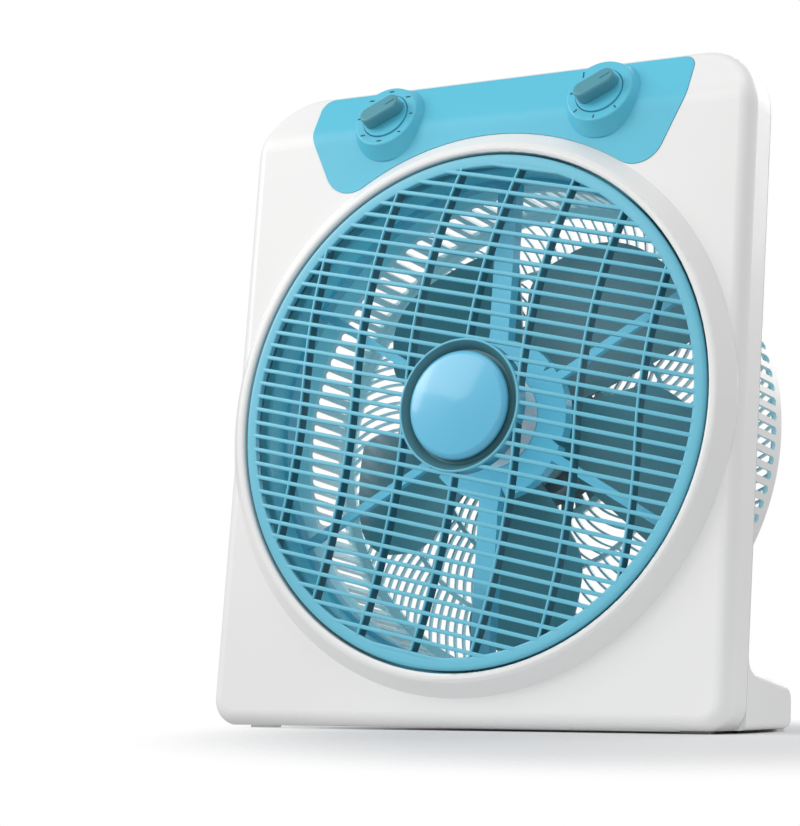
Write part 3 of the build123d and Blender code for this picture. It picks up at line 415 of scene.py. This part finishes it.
def build_louvre():
    """The louvre's front: flat rim, hub, slats and the pale front edges of the bars."""
    bm = bmesh.new()
    rim = [(RIM_IN, RIM_FRONT), (RIM_OUT, RIM_FRONT), (RIM_OUT, RIM_BACK), (RIM_IN, RIM_BACK)]
    lathe(bm, rounded(rim, {0: 0.9, 1: 2.4, 2: 0.5, 3: 0.6}), TURNS)
    lip = HUB_LIP_R - HUB_LIP_WALL
    hub = [
        (HUB_BORE_R, HUB_DISC_FRONT), (lip, HUB_DISC_FRONT), (lip, HUB_FRONT), (HUB_LIP_R, HUB_FRONT),
        (HUB_LIP_R, HUB_DISC_BACK), (HUB_BOSS_R, HUB_DISC_BACK), (HUB_BOSS_R, 0.0), (SHAFT_R, 0.0),
        (SHAFT_R, HUB_DISC_BACK), (HUB_BORE_R, HUB_DISC_BACK),
    ]
    lathe(bm, rounded(hub, {2: 0.5, 3: 0.9, 4: 0.8, 5: 0.8, 6: 0.5}), 180)
    count = int(RIM_IN / SLAT_PITCH)
    slat = strip_profile(SLAT_THICK, 0.0, SLAT_DEPTH, 0.7)
    edge = strip_profile(BAR_THICK, 0.0, BAR_FRONT_DEPTH + 0.4, 0.4)
    for k in range(-count, count + 1):
        strips(bm, slat_line(k * SLAT_PITCH), slat)
    for k in range(-BARS_EACH_SIDE, BARS_EACH_SIDE + 1):
        strips(bm, bar_line(k * BAR_PITCH), edge)
    louvre = make_object("louvre_grille_shaped", bm, LOUVRE, "louvre", BLUE, 40.0)
    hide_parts("louvre_grille")


def build_louvre_walls():
    """The louvre's deep parts, the bars' walls and the rim's skirt, in painted shade: a darker copy of the
    louvre's blue stands in for the shadow behind its front.
    """
    bm = bmesh.new()
    near = RIM_OUT - SKIRT_WALL
    far = RIM_OUT - 0.1
    skirt = [(near, SKIRT_FRONT), (far, SKIRT_FRONT), (far, SKIRT_BACK), (near, SKIRT_BACK)]
    lathe(bm, rounded(skirt, {2: 0.5, 3: 0.5}), TURNS)
    wall = strip_profile(BAR_THICK - 0.16, BAR_FRONT_DEPTH, BAR_DEPTH, 0.25)
    for k in range(-BARS_EACH_SIDE, BARS_EACH_SIDE + 1):
        strips(bm, bar_line(k * BAR_PITCH), wall)
    walls = make_object("louvre_grille_walls", bm, LOUVRE, "louvre", PAINTED_SHADE_BLUE, 40.0)
    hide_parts("louvre_grille")


# ---------------------------------------------------------------- dial marks
def dash(bm, radius, angle, long, wide, turn, thick=0.25):
    """A printed mark on a dial face, with rounded ends."""
    centre = Vector((radius * math.cos(angle), radius * math.sin(angle)))
    steps = 6
    outline = []
    for end in (1, -1):
        for k in range(steps + 1):
            a = (k / steps - 0.5) * math.pi + (0 if end == 1 else math.pi)
            point = Vector(((long - wide) / 2 * end + math.cos(a) * wide / 2, math.sin(a) * wide / 2))
            outline.append(centre + Matrix.Rotation(turn, 2) @ point)
    top = [bm.verts.new((p.x, p.y, thick)) for p in outline]
    base = [bm.verts.new((p.x, p.y, -0.05)) for p in outline]
    bm.faces.new(top)
    bm.faces.new(list(reversed(base)))
    count = len(outline)
    for i in range(count):
        j = (i + 1) % count
        bm.faces.new((base[i], base[j], top[j], top[i]))


MARK_R = 19.6
TIMER_MARKS = 8
SHORT_TIMER_MARKS = (0, 7)
SPEED_MARKS = (                     # angle on the dial, length, width, turn
    (135, 4.6, 0.8, 95), (180, 1.7, 1.5, 0), (225, 3.0, 0.8, 45), (270, 2.6, 0.8, 80), (315, 2.6, 0.9, -50),
)


def build_marks():
    """Plain printed ticks round both dials."""
    bm = bmesh.new()
    for k in range(TIMER_MARKS):
        angle = 2 * math.pi * k / TIMER_MARKS
        long = 3.6 if k not in SHORT_TIMER_MARKS else 2.2
        dash(bm, MARK_R, angle, long, 0.9, 0.0)
    make_object("timer_marks", bm, dial_place("timer_turn"), "casing", INK)
    bm = bmesh.new()
    for degree, long, wide, turn in SPEED_MARKS:
        dash(bm, MARK_R, math.radians(degree), long, wide, math.radians(turn))
    make_object("speed_marks", bm, dial_place("speed_turn"), "casing", INK)


# ---------------------------------------------------------------- stage
def build_floor():
    """Pale floor that fades out with distance. Its grey patch round the fan, clearing to the white surround, is
    painted shade shaped like the fan's contact shadow; the fan's real shadow also falls on it.
    """
    radius = 2.6
    bm = bmesh.new()
    bmesh.ops.create_grid(bm, x_segments=24, y_segments=24, size=radius)
    mesh = bpy.data.meshes.new("floor")
    bm.to_mesh(mesh)
    bm.free()
    floor = bpy.data.objects.new("floor", mesh)
    bpy.context.scene.collection.objects.link(floor)
    material = bpy.data.materials.new("floor_paint_and_painted_shade")
    material.use_nodes = True
    nodes = material.node_tree.nodes
    links = material.node_tree.links
    nodes.clear()
    out = nodes.new("ShaderNodeOutputMaterial")
    matt = nodes.new("ShaderNodeBsdfDiffuse")
    matt.inputs["Color"].default_value = (0.70, 0.70, 0.71, 1.0)
    shine = nodes.new("ShaderNodeBsdfGlossy")
    shine.inputs["Roughness"].default_value = 0.22
    blend = nodes.new("ShaderNodeMixShader")
    blend.inputs["Fac"].default_value = 0.10
    links.new(matt.outputs["BSDF"], blend.inputs[1])
    links.new(shine.outputs["BSDF"], blend.inputs[2])
    clear = nodes.new("ShaderNodeBsdfTransparent")
    fade = nodes.new("ShaderNodeMixShader")
    where = nodes.new("ShaderNodeTexCoord").outputs["Object"]
    # Painted shade: the floor is opaque grey only inside a tilted oval round the fan and clears to the white
    # surround outside it.
    shade_patch = nodes.new("ShaderNodeMapping")
    shade_patch.vector_type = "TEXTURE"
    shade_patch.inputs["Location"].default_value = (0.123, -0.114, 0.0)
    shade_patch.inputs["Rotation"].default_value = (0.0, 0.0, math.radians(30.0))
    shade_patch.inputs["Scale"].default_value = (0.27, 0.60, 1.0)
    links.new(where, shade_patch.inputs["Vector"])
    total = nodes.new("ShaderNodeVectorMath")
    total.operation = "DOT_PRODUCT"
    links.new(shade_patch.outputs["Vector"], total.inputs[0])
    links.new(shade_patch.outputs["Vector"], total.inputs[1])
    spread = nodes.new("ShaderNodeMapRange")
    spread.interpolation_type = "SMOOTHSTEP"
    spread.inputs["From Min"].default_value = 0.10
    spread.inputs["From Max"].default_value = 1.0
    links.new(total.outputs["Value"], spread.inputs["Value"])
    links.new(spread.outputs["Result"], fade.inputs["Fac"])
    links.new(blend.outputs["Shader"], fade.inputs[1])
    links.new(clear.outputs["BSDF"], fade.inputs[2])
    links.new(fade.outputs["Shader"], out.inputs["Surface"])
    mesh.materials.append(material)


def area_light(name, place, target, size, power, color=(1.0, 1.0, 1.0)):
    """A soft box aimed at a target; returns its object."""
    light = bpy.data.lights.new(name, "AREA")
    light.shape = "RECTANGLE"
    light.size, light.size_y = size
    light.energy = power
    light.color = color
    obj = bpy.data.objects.new(name, light)
    bpy.context.scene.collection.objects.link(obj)
    obj.location = place
    obj.rotation_euler = (Vector(target) - Vector(place)).to_track_quat("-Z", "Y").to_euler()
    return obj


def build_light():
    """White surround and soft studio lights."""
    world = bpy.data.worlds.new("studio")
    bpy.context.scene.world = world
    world.use_nodes = True
    nodes = world.node_tree.nodes
    links = world.node_tree.links
    nodes.clear()
    out = nodes.new("ShaderNodeOutputWorld")
    seen = nodes.new("ShaderNodeBackground")
    seen.inputs["Color"].default_value = (1.0, 1.0, 1.0, 1.0)
    seen.inputs["Strength"].default_value = 1.0
    lit = nodes.new("ShaderNodeBackground")
    lit.inputs["Color"].default_value = (1.0, 1.0, 1.0, 1.0)
    lit.inputs["Strength"].default_value = 0.49
    rays = nodes.new("ShaderNodeLightPath")
    mix = nodes.new("ShaderNodeMixShader")
    links.new(rays.outputs["Is Camera Ray"], mix.inputs["Fac"])
    links.new(lit.outputs["Background"], mix.inputs[1])
    links.new(seen.outputs["Background"], mix.inputs[2])
    links.new(mix.outputs["Shader"], out.inputs["Surface"])
    middle = (0.0, 0.0, 0.2)
    area_light("key", (-1.4, -1.8, 1.8), middle, (1.4, 1.4), 15.0, (1.0, 0.99, 0.97))
    area_light("fill", (0.7, -1.8, 0.5), middle, (0.9, 0.9), 3.0)
    area_light("left", (-1.9, -1.0, 1.3), middle, (1.1, 1.1), 18.0)
    area_light("top", (0.2, -0.5, 2.3), middle, (1.6, 1.6), 8.0)
    area_light("back", (0.5, 1.6, 1.1), middle, (1.6, 1.2), 15.0)
    area_light("right", (1.9, 0.6, 1.2), middle, (1.4, 1.4), 5.0)
    behind_louvre = FACE @ Vector((0.0, 0.008, 0.0))
    bounce = area_light("bounce", behind_louvre, MID_DUCT, (0.22, 0.22), 0.07, (0.75, 0.95, 1.0))
    bounce.visible_camera = False


def build_camera():
    """Main view: a long lens 1.67 m away, just above the floor and to the right of the front."""
    data = bpy.data.cameras.new("camera")
    data.lens = 116.4
    data.sensor_width = 36.0
    data.shift_x = -0.0637
    data.shift_y = -0.0078
    data.clip_end = 50.0
    camera = bpy.data.objects.new("camera", data)
    bpy.context.scene.collection.objects.link(camera)
    camera.location = FAN + Vector((0.8312, -1.4497, -0.1571))
    target = FAN + Vector((0.0, -0.0250, 0.0006))
    camera.rotation_euler = (target - camera.location).to_track_quat("-Z", "Y").to_euler()
    bpy.context.scene.camera = camera


dress_cad()
build_louvre()
build_louvre_walls()
build_marks()
build_floor()
build_light()
build_camera()
bpy.context.scene.view_settings.view_transform = "Standard"
